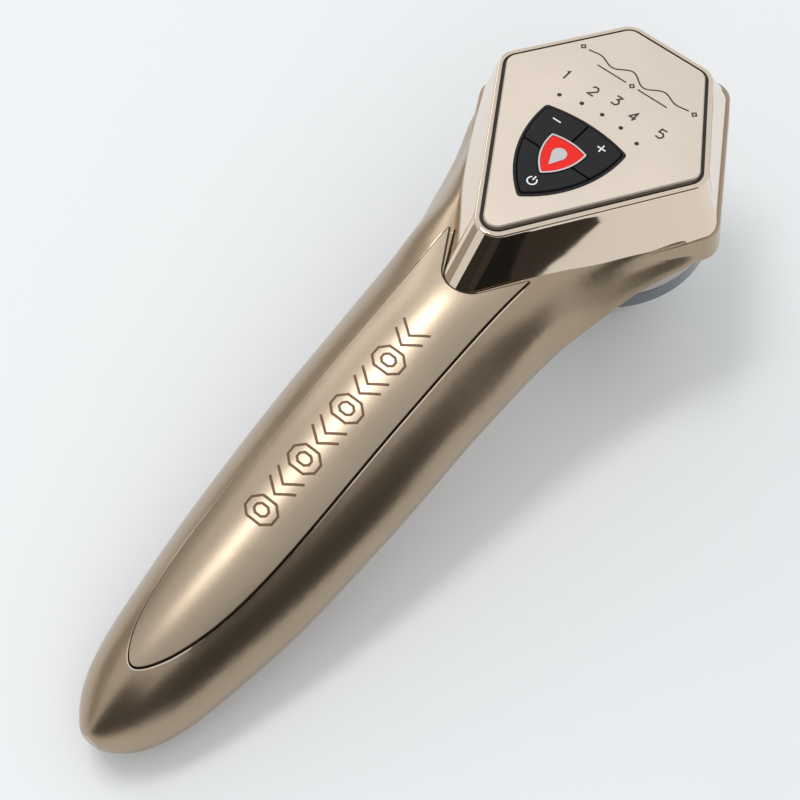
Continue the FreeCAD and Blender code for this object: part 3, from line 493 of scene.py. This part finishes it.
def print_plate():
    """Numerals by the indicators and an ornamental line near the plate's far end."""
    paths = []
    for shape, (x, y) in zip(NUMERALS, NUMERAL_PLACES):
        paths += placed(shape, x, y, NUMERAL_SIZE)
    strokes("plate_numerals", paths, NUMERAL_WIDTH, plate_top, "print_dark")
    wave = [
        (ORNAMENT_X + WAVE_HEIGHT * (1 - t * t) * math.sin(t * WAVE_TURN), ORNAMENT_HALF * t)
        for t in SWEEP
    ]
    low_x = ORNAMENT_X - RULE_DROP
    rules = [[(low_x, y), (low_x, y + RULE_LENGTH)] for y in RULE_STARTS]
    diamonds = []
    for y in (-ORNAMENT_HALF - DIAMOND_GAP, 0.0, ORNAMENT_HALF + DIAMOND_GAP):
        x = ORNAMENT_X if y else low_x
        left, right = (x - DIAMOND, y), (x + DIAMOND, y)
        diamonds.append([left, (x, y - DIAMOND), right, (x, y + DIAMOND), left])
    ornament = [wave, *rules, *diamonds]
    strokes("plate_ornament", ornament, ORNAMENT_WIDTH, plate_top, "print_dark")


def print_keys():
    """Minus, plus and power marks on the three keys, which they ride on."""
    power = [arc(POWER_RADIUS, POWER_FROM, POWER_TO, POWER_STEPS), POWER_BAR]
    for name, shape, x, y in (
        ("key_low", MINUS, 53.0, 5.9),
        ("key_high", PLUS, 53.0, -5.6),
        ("key_power", power, 37.4, 0.0),
    ):
        strokes(
            name + "_mark", placed(shape, x, y, KEY_MARK_SIZE), KEY_MARK_WIDTH,
            surface_of(name), "print_white", body=name + "_body",
        )


def farthest(inside, toward):
    """The last point of the handle cover from a point inside its outline in a direction."""
    near, far = 0.0, SEARCH_REACH
    for _ in range(SEARCH_HALVINGS):
        middle = (near + far) / 2
        at = inside + toward * middle
        near, far = (near, middle) if cover_top(at.x, at.y) is None else (middle, far)
    return inside + toward * near


def groove_lip_highlight():
    """A strip on the casing outside the groove round the handle cover, lighter than the casing: a
    painted highlight standing for the light on its chamfered edge.
    """
    low_x, high_x = (corner.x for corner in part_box("handle_cover"))
    turn_x = low_x + LIP_TURN
    edge = []
    x = high_x - LIP_TIP
    while x > turn_x:
        inside = Vector((x, PRONG_Y if x > PRONG_X else SPINE_Y))
        edge.append(farthest(inside, Vector((0, 1))))
        x -= LIP_STEP
    for i in range(LIP_TURN_STEPS + 1):
        angle = math.radians(90 + 90 * i / LIP_TURN_STEPS)
        toward = Vector((math.cos(angle), math.sin(angle)))
        edge.append(farthest(Vector((turn_x, 0)), toward))
    edge += [Vector((p.x, -p.y)) for p in reversed(edge[:-1])]
    sides = mitres(edge, False)
    lip = [p + side * -(COVER_GAP + LIP_WIDTH / 2) for p, side in zip(edge, sides)]
    path = [(p.x / MM, p.y / MM) for p in lip]
    strokes(
        "groove_lip_highlight", [path], LIP_WIDTH, surface_of("main_shell"), "lip_painted_highlight",
        proud=LIP_PROUD, sunk=ENGRAVING_SUNK,
    )


def nose_gap_shade():
    """Painted shade: a dark strip in the gap between the handle cover's notch and the bezel's
    nose.
    """
    cover_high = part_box("handle_cover")[1]
    half = cover_high.y - NOSE_END
    path = []
    for t in SWEEP:
        y = half * t
        edge = farthest(Vector((PRONG_X, y)), Vector((1, 0)))
        path.append(((edge.x + NOSE_GAP * NOSE_SHARE) / MM, y / MM))

    def height(x, y):
        for step in range(1, NOSE_STEPS + 1):
            under = cover_top(x - step * NOSE_STEP, y)
            if under is not None:
                return under - NOSE_DEPTH
        return cover_high.z - MM

    strokes(
        "nose_gap_shade", [path], NOSE_GAP, height, "joint_and_shade_dark", proud=0.0, sunk=NOSE_SUNK
    )


engrave()
groove_lip_highlight()
nose_gap_shade()
seam_line()
print_plate()
print_keys()


# Stage

def plane(name, corners, colour, roughness):
    """A flat four-sided card on the stage."""
    mesh = bpy.data.meshes.new(name)
    mesh.from_pydata(corners, [], [(0, 1, 2, 3)])
    card = bpy.data.objects.new(name, mesh)
    bpy.context.scene.collection.objects.link(card)
    finish = bpy.data.materials.new(name)
    finish.use_nodes = True
    shader = finish.node_tree.nodes["Principled BSDF"]
    shader.inputs["Base Color"].default_value = (*colour, 1)
    shader.inputs["Roughness"].default_value = roughness
    mesh.materials.append(finish)
    return card


def softbox(name, toward, distance, size, power, reflected):
    """A rectangular light that faces the object from a direction, its first side along X."""
    lamp = bpy.data.lights.new(name, "AREA")
    lamp.shape = "RECTANGLE"
    lamp.size, lamp.size_y = size
    lamp.energy = power
    holder = bpy.data.objects.new(name, lamp)
    bpy.context.scene.collection.objects.link(holder)
    facing = Vector(toward).normalized()
    across = facing.cross(Vector((1, 0, 0))).normalized()
    turn = Matrix((across.cross(facing), across, facing)).transposed().to_4x4()
    holder.matrix_world = Matrix.Translation(facing * distance) @ turn
    holder.visible_glossy = reflected


def flag(name, foot_a, foot_b, height, colour):
    """An upright card beside the object that only its glossy sides show."""
    a, b = Vector((*foot_a, 0)), Vector((*foot_b, 0))
    top = Vector((0, 0, height))
    card = plane(name, [a, b, b + top, a + top], colour, CARD_ROUGHNESS)
    card.visible_camera = False
    card.visible_diffuse = False
    card.visible_shadow = False


def add_world():
    """The room's even light."""
    world = bpy.data.worlds.new("studio")
    bpy.context.scene.world = world
    world.use_nodes = True
    background = world.node_tree.nodes["Background"]
    background.inputs["Color"].default_value = (*WORLD_COLOUR, 1)
    background.inputs["Strength"].default_value = WORLD_STRENGTH


def add_camera():
    """The photograph's view."""
    camera = bpy.data.objects.new("camera", bpy.data.cameras.new("camera"))
    bpy.context.scene.collection.objects.link(camera)
    camera.data.lens = LENS
    camera.data.clip_start = CLIP_START
    axes = (Vector(axis).normalized() for axis in (CAMERA_RIGHT, CAMERA_UP, CAMERA_BACK))
    turn = Matrix(tuple(axes)).transposed().to_4x4()
    camera.matrix_world = Matrix.Translation(CAMERA_PLACE) @ turn
    bpy.context.scene.camera = camera


floor_corners = [
    (x * FLOOR_HALF, y * FLOOR_HALF, 0) for x, y in ((-1, -1), (1, -1), (1, 1), (-1, 1))
]
plane("floor", floor_corners, FLOOR_COLOUR, FLOOR_ROUGHNESS)
for light in LIGHTS:
    softbox(*light)
for card in CARDS:
    flag(*card)
add_world()
bpy.context.scene.view_settings.view_transform = "Standard"
add_camera()
